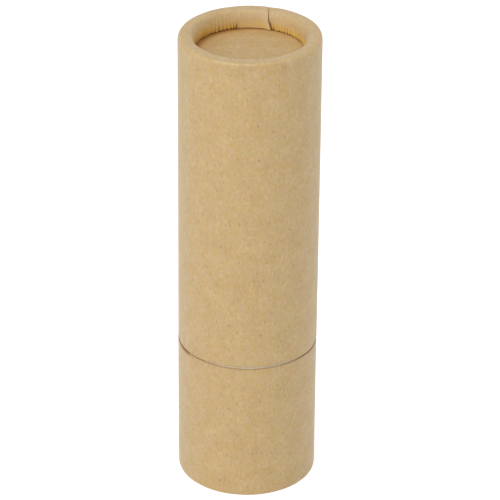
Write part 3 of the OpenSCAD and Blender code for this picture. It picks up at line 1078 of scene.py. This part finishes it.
def screw_ridge(name, half, z_low, z_high, first_angle, fade):
    """A helical ridge. half is its outline above the middle, as (radius, height) points, and
    fade how far its ends are drawn in, in millimetres, or out where it is below 0."""
    outline = [(radius, -height) for radius, height in half] + half[::-1]
    length = z_high - z_low
    deselect()
    bpy.ops.mesh.primitive_circle_add(vertices=len(outline), radius=1, fill_type="NGON")
    made = bpy.context.object
    made.name = name
    start = math.radians(first_angle)
    for vertex, (radius, height) in zip(made.data.vertices, outline):
        vertex.co = Vector((radius * math.cos(start), radius * math.sin(start), z_low + height)) * MM
    sweep = made.modifiers.new("helix", "SCREW")
    sweep.angle = math.tau * length / LEAD
    sweep.screw_offset = length * MM
    sweep.steps = sweep.render_steps = round(TURN_STEPS * length / LEAD)
    sweep.use_merge_vertices = False
    bpy.ops.object.modifier_apply(modifier=sweep.name)

    points = np.empty(len(made.data.vertices) * 3)
    made.data.vertices.foreach_get("co", points)
    points = points.reshape(-1, 3) / MM
    climbed = np.linspace(0, 1, len(points) // len(outline)) * length
    ends = 1 - smooth(climbed, 0, FADE_LENGTH) + smooth(climbed, length - FADE_LENGTH, length)
    radius = np.hypot(points[:, 0], points[:, 1])
    points[:, :2] *= (1 - fade * np.repeat(ends, len(outline)) / radius)[:, None]
    made.data.vertices.foreach_set("co", (points * MM).ravel())
    bpy.ops.object.mode_set(mode="EDIT")
    bpy.ops.mesh.select_all(action="SELECT")
    bpy.ops.mesh.fill_holes(sides=0)
    bpy.ops.mesh.normals_make_consistent(inside=False)
    bpy.ops.object.mode_set(mode="OBJECT")
    bpy.ops.object.shade_smooth_by_angle(angle=SHARP_EDGE)
    coat(made, white_pp)
    turned_by = np.unwrap(np.arctan2(points[::len(outline), 1], points[::len(outline), 0]))
    print(name, "climbs", round(length / (turned_by[-1] - turned_by[0]) * math.tau, 3), "mm a turn")
    return made


# %% Threads
SCREW_HALF = [(1.70, 0.45), (1.80, 0.45), (2.30, 0.22), (2.38, 0.14)]
TOP_CLEAR = 1.0
SCREW_LOW, SCREW_HIGH = 11.2, high("spindle")[2] - TOP_CLEAR
SCREW_FADE = 0.62
NUT_HALF = [(2.70, 0.50), (2.52, 0.50), (2.05, 0.28), (1.98, 0.20)]
NUT_UP, NUT_LENGTH = 1.2, 3.2
NUT_LOW = low("carrier")[2] + NUT_UP
NUT_HIGH = NUT_LOW + NUT_LENGTH
NUT_FADE = -0.60

half_gap = LEAD / STARTS / 2
for begin in range(STARTS):
    first = 360 / STARTS * begin
    thread = screw_ridge("spindle_thread_%d" % (begin + 1), SCREW_HALF,
                         SCREW_LOW, SCREW_HIGH, first, SCREW_FADE)
    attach(thread, "base")
    nut_first = first + 360 * (NUT_LOW - SCREW_LOW - half_gap) / LEAD
    nut = screw_ridge("nut_thread_%d" % (begin + 1), NUT_HALF, NUT_LOW, NUT_HIGH, nut_first, NUT_FADE)
    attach(nut, "stick")

# %% [markdown]
# ## Balm
#
# The balm is beeswax with oils and shea butter, poured hot. It cools to a soft satin surface
# with a cloudy yellow body that light enters by a millimetre or two. Crystals bloom a little
# paler in patches, and the top keeps the ripple of the pour.

# %% Balm
WAX = colour("#f0e0b0")
WAX_BLOOM = colour("#f6ecca")
BLOOM = 2.6
BLOOM_RANGE = (0.35, 0.7)
RIPPLE = 3.5


def beeswax():
    """Poured beeswax that is paler and duller where it blooms."""
    made, tree = new_material("Beeswax balm, poured")
    where = add_node(tree, "ShaderNodeTexCoord").outputs["Object"]
    bloom = add_node(tree, "ShaderNodeTexNoise",
                     {"Vector": where, "Scale": 1 / (BLOOM * MM), "Detail": 5.0, "Roughness": 0.6})
    roughness = add_node(tree, "ShaderNodeMapRange",
                         {"Value": bloom.outputs["Fac"], "From Min": BLOOM_RANGE[0],
                          "From Max": BLOOM_RANGE[1], "To Min": 0.38, "To Max": 0.55})
    ripple = add_node(tree, "ShaderNodeTexNoise",
                      {"Vector": where, "Scale": 1 / (RIPPLE * MM), "Detail": 2.0})
    relief = add_node(tree, "ShaderNodeBump",
                      {"Strength": 0.35, "Distance": 0.15 * MM, "Height": ripple.outputs["Fac"]})
    tone = tinted(tree, WAX, [(bloom.outputs["Fac"], *BLOOM_RANGE, 1.0, WAX_BLOOM)])
    shader = add_node(tree, "ShaderNodeBsdfPrincipled",
                      {"Base Color": tone, "Roughness": roughness.outputs[0],
                       "Normal": relief.outputs[0], "IOR": 1.44, "Subsurface Weight": 0.6,
                       "Subsurface Radius": (1.0, 0.7, 0.35), "Subsurface Scale": 2.0 * MM})
    add_node(tree, "ShaderNodeOutputMaterial", {"Surface": shader.outputs[0]})
    return made


coat(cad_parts["balm"], beeswax())
print("balm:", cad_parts["balm"].data.materials[0].name)
